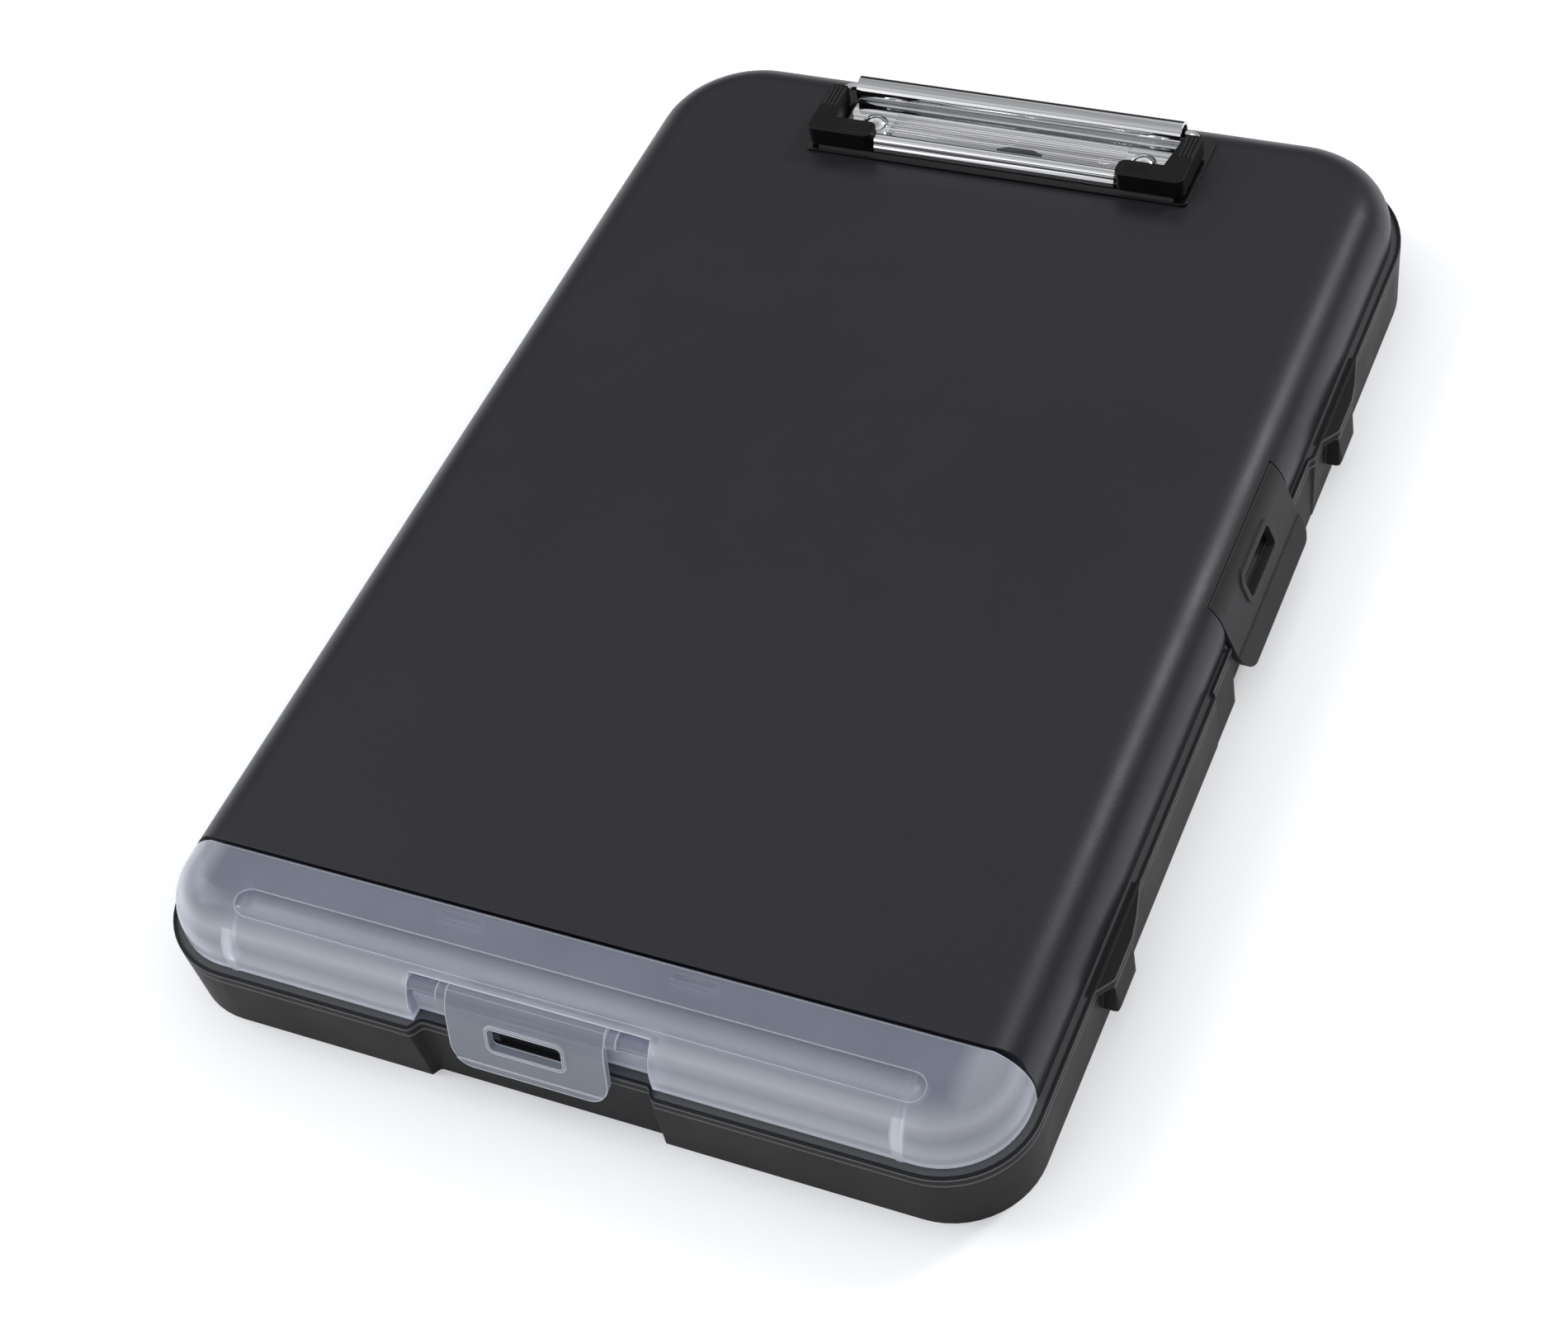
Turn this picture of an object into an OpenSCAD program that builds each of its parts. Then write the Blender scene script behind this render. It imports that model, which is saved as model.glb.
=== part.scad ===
// Storage clipboard box: a shallow tray with a hinged writing lid, a hinged pen
// cover across the front, a snap latch for each, and a low-profile paper clip.
// Origin: centre of the underside. +X towards the side latch, +Y towards the
// clip, +Z up. Millimetres.

/* [Body] */
// Width of the tray over its rim
body_w = 240; // [225:1:280]
// Length of the tray over its rim
body_l = 360; // [335:1:400]
// Height of the tray's rim
rim_h = 22; // [20:0.5:26]
// Height of the writing surface
top_h = 39.5; // [38.5:0.5:44]
// Plan radius of the two front corners
front_r = 24; // [21:1:30]
// Plan radius of the two rear corners
rear_r = 34; // [24:1:40]
// Wall thickness of the tray at its rim
wall = 3; // [2.4:0.1:4]
// Floor thickness of the tray
floor_t = 2; // [1.6:0.1:3]
// How far the wall leans in at the bottom
draft = 1; // [0.2:0.1:1.6]
// Length of the pen compartment, from the front of the rim to the lid
pen_l = 28.6; // [27:0.2:40]

/* [Rim] */
// Width of the raised bead round the rim
bead_w = 0.9; // [0.6:0.1:1.4]
// Height of the bead above the ledge
bead_h = 0.7; // [0.4:0.1:0.9]
// Ledge width from the rim to the foot of the lid
foot_inset = 2.8; // [2.4:0.1:3.4]
// Thickness of the ledge
ledge_t = 1.7; // [1.4:0.1:2.4]
// Thickness of the lip inside the lid and the pen cover
lip_t = 1.4; // [1:0.1:1.8]
// Height of the lip above the ledge
lip_h = 3; // [2:0.25:3.5]
// Thickness of the wall between the two compartments
divider_t = 2; // [1.5:0.1:3]

/* [Lid and pen cover] */
// Wall thickness of the lid
lid_t = 2.2; // [1.8:0.1:2.4]
// Wall thickness of the pen cover
cover_t = 1.6; // [1.2:0.1:1.8]
// Radius of the shoulder round the top
shoulder_r = 13.5; // [12.5:0.25:14.5]
// Clearance between seated pieces
gap = 0.3; // [0.2:0.05:0.4]
// Depth of the stiffening rib under the lid's front edge
lid_rib_h = 3.5; // [2:0.5:4]

/* [Lid hinge] */
// Radius of the hinge barrels
barrel_r = 2.4; // [2.2:0.1:2.5]
// Radius of the hinge pins
pin_r = 1; // [0.8:0.05:1.2]
// Radial clearance of every pin in its bore
pin_fit = 0.05; // [0.02:0.01:0.1]
// Length of one hinge barrel
barrel_l = 14; // [10:1:18]
// Distance from the front hinge to the rear hinge
hinge_pitch = 200; // [160:5:220]

/* [Pen cover hinge] */
// Radius of the pen cover's barrels
cover_barrel_r = 1.6; // [1.5:0.1:1.8]
// Radius of the pen cover's pin
cover_pin_r = 0.8; // [0.6:0.05:0.9]
// Half length of the tray's own barrel
cover_boss_x = 26; // [20:1:30]
// Length of each barrel on the pen cover
cover_barrel_l = 12; // [8:1:16]

/* [Latches] */
// Thickness of the latch plates
latch_t = 1.8; // [1.5:0.1:2]
// Radius of the latch barrels
latch_barrel_r = 2.2; // [2.1:0.1:2.3]
// Radius of the side latch's pin
latch_pin_r = 0.8; // [0.6:0.05:1]
// Width of the side latch
side_latch_w = 53.6; // [46:0.2:60]
// Distance of the side latch behind the middle of the box
side_latch_y = 19.8; // [10:0.2:30]
// Depth of the side latch below the shoulder's centre
side_latch_drop = 14.5; // [13:0.5:16]
// Width of the pen latch
pen_latch_w = 44; // [38:1:48]
// Distance of the pen latch to the left of the middle
pen_latch_x = 5.6; // [2:0.2:8]
// Depth of the pen latch below the shoulder's centre
pen_latch_drop = 11; // [10:0.5:12.5]
// Radius of the pen latch's rod
rod_r = 1.8; // [1.5:0.1:2]
// Radius of the pen latch's barrel
pen_barrel_r = 2.9; // [2.6:0.1:3.1]
// How far the pen latch stands proud of the cover
pen_proud = 0.9; // [0.8:0.1:1.2]
// Width of the window in each latch
window_w = 20.5; // [16:0.5:22]
// Height of the window in each latch
window_h = 7; // [6:0.25:7.5]
// Half width of the notch in the pen cover
notch_x = 33.4; // [32:0.2:36]
// How deep the wall is set back behind the side latch
setback = 3.9; // [3.8:0.1:4.3]
// Depth of the step in the side wall round that setback
side_step = 1.2; // [0.8:0.1:1.6]
// Depth of the recess in the front wall
front_recess = 3.3; // [2.8:0.1:3.4]

/* [Lugs] */
// How far the two side lugs stand out
lug_out = 3.4; // [2.5:0.1:4]
// Length of one lug
lug_l = 32; // [28:1:40]
// Height of a lug's lower edge
lug_low = 8; // [6:0.5:12]

/* [Clip] */
// Width of the clip's pad
pad_w = 122; // [118:1:140]
// Depth of the clip's pad
pad_d = 30; // [28:1:36]
// Thickness of the clip's pad
pad_t = 1; // [0.8:0.1:1.6]
// Distance from the back of the rim to the back of the pad
pad_back = 15; // [14:0.5:24]
// Thickness of the clip's steel plate
plate_t = 1; // [0.8:0.1:1.1]
// Length of the rolled tube
tube_l = 104; // [96:1:106]
// Outer radius of the rolled tube
tube_r = 3.8; // [3.5:0.1:4.2]
// Radius of the spring wire
wire_r = 1.1; // [0.9:0.05:1.2]
// Spacing of the two rivets
rivet_pitch = 86; // [76:1:88]
// Radius of a rivet's head
rivet_head_r = 4.2; // [3.5:0.1:4.4]
// Radius of a rivet's shank
rivet_r = 1.6; // [1.2:0.1:2]
// Height of a corner grip
grip_h = 6; // [5:0.25:7]

/* [Hidden] */
$fn = 64;
hw = body_w/2;
hl = body_l/2;
ledge_z = rim_h - bead_h;
foot_z = ledge_z + gap;
cover_foot_z = rim_h + 0.2;
lip_in = foot_inset + lid_t + gap;
lip_out = lip_in + lip_t;
seam_y = -hl + pen_l;
sh_x = hw - foot_inset - shoulder_r;
sh_y = -hl + foot_inset + shoulder_r;
sh_z = top_h - shoulder_r;

// Lid hinge: axis just outside the lid's left wall, level with the rim
lid_ax = -hw + foot_inset - gap;
lid_az = rim_h;
knuckle_gap = 0.4;
hinge_mid = (front_r - rear_r)/2;
hinge_clear = barrel_r + gap;
lid_pin_l = 3*barrel_l + 2*knuckle_gap - 3;

// Pen cover hinge: axis under the cover's rear edge
cover_drop = cover_t + gap + cover_barrel_r;
cover_az = top_h - cover_drop;
cover_ay = seam_y - cover_drop - 0.4;
cover_rear = cover_ay + cover_drop - 0.2;
cover_swing = norm([cover_drop - 0.2, cover_drop]) + gap;
cover_pin_l = 2*(cover_boss_x + knuckle_gap + cover_barrel_l) - 3;
rib_t = 1.5;
rib_y = cover_ay + cover_swing + 0.1;
divider_y = rib_y + rib_t + gap;
shelf_z = cover_az - cover_drop - gap;
shelf_t = 2;

// Latch section about the shoulder's centre: u outwards, v up
latch_angle = 38;
latch_arc = shoulder_r - latch_barrel_r;
latch_u = latch_arc*cos(latch_angle);
latch_v = latch_arc*sin(latch_angle);
latch_clear = latch_barrel_r + 0.9;
side_bend = 17;
pen_bend = 13;
window_v = 0.5;
window_r = 1.4;
frame_h = 0.5;
grip_step = 0.3;
latch_end_gap = 0.5;
boss_l = 5;
boss_r = 2;
latch_pin_l = side_latch_w + 2*latch_end_gap + 2*boss_l - 1;
catch_r = 1.3;
pen_catch_r = 0.9;
catch_w = window_w - 2;
catch_slot_in = 8.1;
rear_ease = 0.7;
pen_r = shoulder_r + pen_proud;
pen_u = (pen_r - pen_barrel_r)*cos(latch_angle);
pen_v = (pen_r - pen_barrel_r)*sin(latch_angle);
pen_clear = pen_barrel_r + 0.6;
hub_l = 3.5;
hub_step = 0.2;
rod_l = 2*notch_x + 2*cover_t - 0.4;
notch_in = 6.5;
notch_t = 1.2;

// Recesses of the tray's wall behind the latches
recess_r = 1.5;
block_r = 2;
front_half = notch_x - 1.6;
side_half = side_latch_w/2 + 16;
front_slope = 32;
side_slope = 50;
recess_end = 14;

// Trough along the top of the pen cover, about the shoulder's centre
trough_r = 5;
trough_angle = 13;
trough_d = 16.3;
trough_l = [-92, 97];
trough_end = 4.2;
cover_rib_x = 92;

// Lugs
lug_y = [-105, 85];
lug_t = 2.6;

// Clip
pad_y = hl - pad_back - pad_d;
plate_z = top_h + pad_t;
plate_y = pad_y + 1.4;
tube_y = pad_y + pad_d - tube_r;
tube_z = plate_z + tube_r;
rivet_y = pad_y + 14.2;
rivet_head_t = 2;
washer_t = 0.8;
grip_z = plate_z + plate_t + gap;
grip_in = tube_l/2 + 2;
grip_x = grip_in + 5.6;
grip_y = pad_y + 0.9;
grip_front = 6.8;
grip_reach = 21;
grip_back = tube_y - tube_r - 0.2;
grip_rib_r = 0.45;
grip_rib_pitch = 1.25;
wire_x = grip_in + 2.8;
wire_y = pad_y + 4.2;
wire_z = grip_z + 2.5;
wire_bend = 3;
spring_l = 16;
wire_in = tube_l/2 - spring_l - 4;
spring_turns = 8;
bail_l = norm([tube_y - wire_y, tube_z - wire_z]);
bail_tilt = atan((tube_z - wire_z)/(tube_y - wire_y));
jaw_x = grip_x - grip_reach - 0.4;
jaw_back = 5.2;
plate_rib_pitch = 2;

// ---------- shared shapes ----------

// Plan of the box, drawn in by an inset
module plan(inset) {
    translate([-hw + inset, -hl + front_r]) square([2*(hw - inset), body_l - front_r - rear_r]);
    translate([-hw + front_r, -hl + inset]) square([body_w - 2*front_r, hl]);
    translate([-hw + rear_r, 0]) square([body_w - 2*rear_r, hl - inset]);
    for (s = [-1, 1]) {
        translate([s*(hw - front_r), -hl + front_r]) circle(front_r - inset);
        translate([s*(hw - rear_r), hl - rear_r]) circle(rear_r - inset);
    }
}

// Straight side: the profile is drawn along X and Z and pulled along -Y
module pull(length) {
    rotate([90, 0, 0]) linear_extrude(length) children();
}

// Sweep a profile round the plan: child 0 for the front corners' radius,
// child 1 for the rear corners' radius, both drawn from a corner's centre
module around_plan() {
    for (s = [0, 1]) mirror([s, 0, 0]) {
        translate([hw - front_r, -hl + front_r, 0]) rotate([0, 0, -90])
            rotate_extrude(angle = 90) children(0);
        translate([hw - rear_r, hl - rear_r, 0])
            rotate_extrude(angle = 90) children(1);
        translate([hw - rear_r, hl - rear_r, 0])
            pull(body_l - front_r - rear_r) children(1);
    }
    translate([hw - front_r, -hl + front_r, 0]) rotate([0, 0, -90])
        pull(body_w - 2*front_r) children(0);
    translate([-hw + rear_r, hl - rear_r, 0]) rotate([0, 0, 90])
        pull(body_w - 2*rear_r) children(1);
}

// Upright wall with a rounded shoulder
module shoulder_profile(corner, inset, z0, top, r) {
    w = corner - inset;
    translate([0, z0]) square([w, top - r - z0]);
    translate([0, z0]) square([w - r, top - z0]);
    translate([w - r, top - r]) intersection() {
        circle(r);
        square(r + 1);
    }
}

// Solid with the rounded shoulder all the way round
module pillow(inset, z0, top, r) {
    around_plan() {
        shoulder_profile(front_r, inset, z0, top, r);
        shoulder_profile(rear_r, inset, z0, top, r);
    }
    translate([-hw + rear_r - 1, -hl + front_r - 1, z0])
        cube([body_w - 2*rear_r + 2, body_l - front_r - rear_r + 2, top - z0]);
}

// Shell of the lid and of the pen cover
module top_shell(t, foot) {
    difference() {
        pillow(foot_inset, foot, top_h, shoulder_r);
        pillow(foot_inset + t, foot - 1, top_h - t, shoulder_r - t);
    }
}

module rounded_bar(l, w, r) {
    translate([-l/2, -w/2 + r]) square([l, w - 2*r]);
    translate([-l/2 + r, -w/2]) square([l - 2*r, w]);
    for (x = [-1, 1]) for (y = [-1, 1])
        translate([x*(l/2 - r), y*(w/2 - r)]) circle(r);
}

// Cylinder along Y or along X, centred on its length
module rod_y(r, l) {
    rotate([90, 0, 0]) cylinder(r = r, h = l, center = true);
}
module rod_x(r, l) {
    rotate([0, 90, 0]) cylinder(r = r, h = l, center = true);
}

// Place what is drawn about the shoulder's centre on the right or the front
module on_side() {
    translate([sh_x, side_latch_y, sh_z]) children();
}
module on_front() {
    translate([-pen_latch_x, sh_y, sh_z]) rotate([0, 0, -90]) children();
}

// Place what belongs to each lid hinge
module at_hinges() {
    for (s = [-1, 1]) translate([lid_ax, hinge_mid + s*hinge_pitch/2, lid_az]) children();
}

// ---------- tray ----------

module tray_profile(corner) {
    polygon([[corner - wall, 0], [corner - draft, 0], [corner, rim_h - 2],
        [corner, rim_h - 0.3], [corner - 0.3, rim_h], [corner - bead_w, rim_h],
        [corner - bead_w, ledge_z], [corner - lip_in, ledge_z],
        [corner - lip_in, ledge_z + lip_h], [corner - lip_out, ledge_z + lip_h],
        [corner - lip_out, ledge_z - ledge_t], [corner - wall, ledge_z - ledge_t]]);
}

// Half width of a recess at a depth y, with its outline drawn in by an inset
function recess_x(half, deep, slope, y, inset) = half + (deep - y)*tan(slope) + inset/cos(slope);

// Points along an arc
function arc(x, y, r, a0, a1, n) = [for (i = [0:n]) let(a = a0 + (a1 - a0)*i/n) [x + r*cos(a), y + r*sin(a)]];

// Half of a recess's outline: the rounded edge, the slope and the inner corner
function recess_side(half, deep, slope, inset) =
    let(r = recess_r + inset, cy = deep + inset - r, q = block_r - inset, qy = inset + q,
        cx = recess_x(half, deep, slope, cy, inset) - r/cos(slope),
        qx = recess_x(half, deep, slope, qy, inset) + q/cos(slope),
        far = recess_x(half, deep, slope, -6, inset))
    concat(q > 0.1 ? concat([[qx, -6]], arc(qx, qy, q, 270, 180 + slope, 4)) : [[far, -6]],
        arc(cx, cy, r, slope, 90, 5));

// Recess in a wall that runs along X with its outside at -Y: everything
// outside the wall's outline, from z0 to z1
module recess(half, deep, slope, inset, z0, z1) {
    side = recess_side(half, deep, slope, inset);
    n = len(side) - 1;
    translate([0, 0, z0]) linear_extrude(z1 - z0)
        polygon(concat(side, [for (i = [0:n]) [-side[n - i][0], side[n - i][1]]]));
}

// The same, with the strip outside the straight wall beside it
module outside_wall(half, deep, slope, inset, z0, z1) {
    recess(half, deep, slope, inset, z0, z1);
    far = recess_x(half, deep, slope, 0, 0) + recess_end + 1;
    translate([-far, -6, z0]) cube([2*far, 6 + inset, z1 - z0]);
}

// Room that the recessed wall takes from the straight one
module recess_room(half, deep, slope) {
    far = recess_x(half, deep, slope, 0, 0) + recess_end;
    translate([-far, -1, -1]) cube([2*far, deep + lip_out + 1, ledge_z + lip_h + 2]);
}

// Wall whose bead, ledge and lip follow a recess
module recessed_wall(half, deep, slope) {
    far = recess_x(half, deep, slope, 0, 0) + recess_end;
    in = deep + lip_out;
    top = ledge_z + lip_h;
    difference() {
        union() {
            translate([-far, 0, 0]) rotate([90, 0, 90]) linear_extrude(2*far)
                polygon([[draft, 0], [0, rim_h - 2], [0, rim_h - 0.3], [0.3, rim_h], [in, rim_h], [in, 0]]);
            translate([-far, lip_in - 1, ledge_z - 1]) cube([2*far, in - lip_in + 1, lip_h + 1]);
        }
        recess(half, deep, slope, 0, -1, top + 1);
        difference() {
            outside_wall(half, deep, slope, lip_in, ledge_z, top + 1);
            outside_wall(half, deep, slope, bead_w, ledge_z - 1, rim_h + 0.1);
        }
        difference() {
            translate([-far - 1, 0, ledge_z - ledge_t]) cube([2*far + 2, in + 1, top]);
            outside_wall(half, deep, slope, lip_out, 0, top + 2);
        }
        difference() {
            translate([-far - 1, 0, floor_t]) cube([2*far + 2, in + 1, ledge_z - ledge_t - floor_t + 0.1]);
            outside_wall(half, deep, slope, wall, 0, top);
        }
    }
}

// Place what belongs to the recess in the front wall or in the side wall
module at_front_recess() {
    translate([-pen_latch_x, -hl, 0]) children();
}
module at_side_recess() {
    translate([hw, side_latch_y, 0]) rotate([0, 0, 90]) children();
}

// Deep setback behind the side latch, inside the step of the side wall
module side_setback() {
    half = side_latch_w/2 + latch_end_gap + 0.2;
    translate([0, 0, -1]) linear_extrude(rim_h + 1 + gap) {
        translate([-half, -3]) square([2*half, setback + 3]);
        translate([-half - 1.2, -3]) square([2*half + 2.4, side_step + 3]);
    }
}

// Tongue and ridge that a latch snaps over; r is the plate's own radius
module catch_tongue(r, bend, ridge, w) {
    inner_u = r*cos(bend) + (r*sin(bend) - window_v)*tan(bend) - latch_t/cos(bend);
    u = inner_u - gap - ridge - 0.1;
    translate([u, 0, window_v]) rod_y(ridge, w);
    translate([u - ridge, -w/2, ledge_z - sh_z - 0.5])
        cube([1.5*ridge, w, sh_z + window_v - ledge_z + 0.5]);
}

// One lug: a flange that swells out of the rim, with a block hanging from it
module lug() {
    translate([0, 0, rim_h - 0.4 - lug_t]) linear_extrude(lug_t)
        polygon([[-2, -0.5*lug_l], [-1.4, -0.5*lug_l], [lug_out - 0.4, -0.31*lug_l],
            [lug_out, -0.28*lug_l], [lug_out, 0.1*lug_l], [lug_out - 1, 0.3*lug_l],
            [0, 0.6*lug_l], [-2, 0.6*lug_l]]);
    intersection() {
        translate([0, 0, lug_low - 1]) linear_extrude(rim_h - lug_low - 1)
            polygon([[-2, -0.31*lug_l], [lug_out + 0.1, -0.31*lug_l], [lug_out + 0.6, -0.28*lug_l],
                [lug_out + 0.6, 0.06*lug_l], [0, 0.34*lug_l], [-2, 0.34*lug_l]]);
        translate([0, 0.5*lug_l, 0]) pull(lug_l)
            polygon([[-2, lug_low], [lug_out - 1, lug_low], [lug_out + 0.1, lug_low + 0.5],
                [lug_out + 0.6, lug_low + 1.6], [lug_out + 0.6, lug_low + 3], [lug_out - 0.1, rim_h - 2],
                [-2, rim_h - 2]]);
    }
}

module divider_outline() {
    w = hw - lip_in;
    r = shoulder_r - lid_t - gap;
    top = top_h - lid_t - gap;
    translate([-w, floor_t/2]) square([2*w, top - r - floor_t/2]);
    translate([-w + r, floor_t/2]) square([2*(w - r), top - floor_t/2]);
    for (s = [-1, 1]) translate([s*(w - r), top - r]) circle(r);
}

module base_tray() {
    color([0.03, 0.03, 0.035]) difference() {
        union() {
            difference() {
                around_plan() {
                    tray_profile(front_r);
                    tray_profile(rear_r);
                }
                at_front_recess() recess_room(front_half, front_recess, front_slope);
                at_side_recess() recess_room(side_half, side_step, side_slope);
            }
            linear_extrude(floor_t) plan(wall - 0.5);
            // wall between the compartments
            translate([0, divider_y + divider_t, 0]) pull(divider_t) divider_outline();
            // shelf, web and barrel for the pen cover's hinge
            translate([-cover_boss_x, cover_ay - 1, shelf_z - shelf_t])
                cube([2*cover_boss_x, divider_y - cover_ay + 1.5, shelf_t]);
            translate([-cover_boss_x, cover_ay - 1, shelf_z - 0.5])
                cube([2*cover_boss_x, 1.8, cover_az - shelf_z + 0.5]);
            translate([0, cover_ay, cover_az]) rod_x(cover_barrel_r, 2*cover_boss_x);
            for (s = [-1, 1]) translate([s*(cover_boss_x - 3), divider_y + 0.5, shelf_z - shelf_t + 0.5])
                rotate([90, 0, -90]) linear_extrude(2, center = true)
                    polygon([[0, 0], [divider_y - cover_ay + 1.5, 0], [0, -8]]);
            // walls and catches behind the latches
            at_front_recess() recessed_wall(front_half, front_recess, front_slope);
            at_side_recess() {
                recessed_wall(side_half, side_step, side_slope);
                translate([-side_latch_w/2 - 4, side_step + 1.5, floor_t/2])
                    cube([side_latch_w + 8, lip_out - 1.5, ledge_z - floor_t/2 - 0.5]);
            }
            on_side() catch_tongue(shoulder_r, side_bend, catch_r, catch_w);
            on_front() catch_tongue(pen_r, pen_bend, pen_catch_r, catch_w);
            // barrels and pads of the lid's hinges
            at_hinges() {
                for (s = [-1, 1]) translate([0, s*(barrel_l + knuckle_gap), 0]) {
                    rod_y(barrel_r, barrel_l);
                    translate([-barrel_r, -barrel_l/2, -barrel_r])
                        cube([2*barrel_r, barrel_l, barrel_r]);
                }
                translate([-1, -1.5*barrel_l - knuckle_gap, -barrel_r - 3])
                    cube([lip_out - foot_inset + gap + 1, 3*barrel_l + 2*knuckle_gap, 3.5]);
            }
            for (y = lug_y) translate([hw, y, 0]) lug();
        }
        // recesses through the floor's edge, and the setback behind the side latch
        at_front_recess() recess(front_half, front_recess, front_slope, 0, -1, rim_h);
        at_side_recess() {
            recess(side_half, side_step, side_slope, 0, -1, rim_h);
            side_setback();
        }
        // room for the lid's barrels, and the bores
        at_hinges() {
            rod_y(hinge_clear, barrel_l + 2*knuckle_gap);
            rod_y(pin_r + pin_fit, 3*barrel_l + 2*knuckle_gap + 2);
        }
        translate([0, cover_ay, cover_az]) rod_x(cover_pin_r + pin_fit, 2*cover_boss_x + 2);
    }
}

// ---------- lid ----------

module main_lid() {
    color([0.11, 0.12, 0.14]) difference() {
        union() {
            intersection() {
                top_shell(lid_t, foot_z);
                translate([-hw, seam_y, 0]) cube([body_w, body_l, top_h + 1]);
            }
            // rib under the front edge
            intersection() {
                translate([-hw, rib_y, top_h - lid_t - lid_rib_h]) cube([body_w, rib_t, lid_rib_h + 1]);
                pillow(foot_inset + 1, foot_z, top_h - 1, shoulder_r - 1);
            }
            // barrels of the hinge
            at_hinges() rod_y(barrel_r, barrel_l);
            // bosses for the side latch's pin
            on_side() for (s = [-1, 1])
                translate([latch_u, s*(side_latch_w/2 + latch_end_gap + boss_l/2), latch_v])
                    rod_y(boss_r, boss_l);
        }
        // front edge clears the pen cover's rear edge as it swings
        translate([0, cover_ay, cover_az]) rod_x(cover_swing, body_w + 2);
        // opening for the side latch
        on_side() {
            translate([latch_u - 1, -side_latch_w/2 - latch_end_gap, -top_h])
                cube([20, side_latch_w + 2*latch_end_gap, top_h + latch_v]);
            translate([latch_u, 0, latch_v]) {
                rod_y(latch_clear, side_latch_w + 2*latch_end_gap);
                rod_y(latch_pin_r + pin_fit, latch_pin_l + 0.4);
            }
        }
        // hinge: room for the tray's barrels, and the bores
        at_hinges() {
            for (s = [-1, 1]) translate([0, s*(barrel_l + knuckle_gap), 0])
                rod_y(hinge_clear, barrel_l + 2*knuckle_gap);
            rod_y(pin_r + pin_fit, barrel_l + 2);
        }
        // holes for the clip's rivets
        for (s = [-1, 1]) translate([s*rivet_pitch/2, rivet_y, top_h - lid_t - 1])
            cylinder(r = rivet_r + pin_fit, h = lid_t + 2);
    }
}

module lid_hinge_pins() {
    color([0.7, 0.71, 0.73]) at_hinges() rod_y(pin_r, lid_pin_l);
}

// ---------- latches ----------

// Cylinder shell about the shoulder's centre line
module shoulder_shell(outer, inner, w) {
    difference() {
        rod_y(outer, w);
        rod_y(inner, w + 2);
    }
}

// Solid of a latch plate before its corners are rounded
module latch_solid(r, barrel, w, drop, bend, knee, step, flare) {
    u = (r - barrel)*cos(latch_angle);
    v = (r - barrel)*sin(latch_angle);
    p = [r*cos(bend), r*sin(bend)];
    n = [cos(bend), sin(bend)];
    run = (p[1] + knee)/cos(bend);
    k = p + run*[sin(bend), -cos(bend)];
    toe = [k[0] + step + (drop - knee)*tan(flare), -drop];
    intersection() {
        shoulder_shell(r, r - latch_t, w);
        union() {
            translate([0, w/2 + 1, 0]) pull(w + 2)
                polygon([[0, 0], 2*p, 2*r*[cos(latch_angle), sin(latch_angle)]]);
            translate([u, 0, v]) rod_y(barrel + 0.6 - gap/2, w + 2);
        }
    }
    translate([u, 0, v]) rod_y(barrel, w);
    translate([0, w/2, 0]) pull(w)
        polygon([p, k, k + step*n, toe, toe - [latch_t + 0.3, 0], k - latch_t*n,
            p - latch_t*n, (r - latch_t/2)*[cos(bend + 4), sin(bend + 4)]]);
}

// Outline of the plate seen from outside: rounded lower corners
module plate_outline(w, drop, r) {
    translate([-w/2, -drop + r]) square([w, drop + 2*shoulder_r]);
    translate([-w/2 + r, -drop]) square([w - 2*r, drop]);
    for (s = [-1, 1]) translate([s*(w/2 - r), -drop + r]) circle(r);
}

module latch_plate(r, barrel, w, drop, bend, knee, step, flare, corner, rim) {
    difference() {
        union() {
            intersection() {
                latch_solid(r, barrel, w, drop, bend, knee, step, flare);
                rotate([90, 0, 90]) linear_extrude(40) plate_outline(w, drop, corner);
            }
            // raised loop round the window
            intersection() {
                latch_solid(r + frame_h, barrel, w - 8, drop, bend, knee, step, flare);
                rotate([90, 0, 90]) translate([0, 0, r - 2]) linear_extrude(20) translate([0, window_v])
                    rounded_bar(window_w + 2*rim, window_h + 2*rim, window_r + rim);
            }
        }
        rotate([90, 0, 90]) translate([0, 0, 5]) linear_extrude(30)
            translate([0, window_v]) rounded_bar(window_w, window_h, window_r);
    }
}

module side_latch() {
    color([0.03, 0.03, 0.035]) on_side() difference() {
        latch_plate(shoulder_r, latch_barrel_r, side_latch_w, side_latch_drop, side_bend,
            side_latch_drop - 6, grip_step, 27, 5.5, 1.8);
        translate([latch_u, 0, latch_v]) rod_y(latch_pin_r + pin_fit, side_latch_w + 2);
    }
}

module side_latch_pin() {
    color([0.7, 0.71, 0.73]) on_side() translate([latch_u, 0, latch_v])
        rod_y(latch_pin_r, latch_pin_l);
}

module pen_latch() {
    color([0.36, 0.43, 0.5, 0.75]) on_front() difference() {
        union() {
            latch_plate(pen_r, pen_barrel_r, pen_latch_w, pen_latch_drop, pen_bend,
                pen_latch_drop - 2, 0.3, pen_bend, 6, 0.8);
            for (s = [-1, 1]) translate([pen_u, s*(pen_latch_w/2 + hub_l/2 - 0.5), pen_v])
                rod_y(pen_barrel_r - hub_step, hub_l);
        }
        translate([pen_u, 0, pen_v]) rod_y(rod_r + pin_fit, 2*notch_x);
    }
}

module pen_latch_rod() {
    color([0.36, 0.43, 0.5, 0.75]) on_front() translate([pen_u, 0, pen_v])
        rod_y(rod_r, rod_l);
}

// ---------- pen cover ----------

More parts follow.
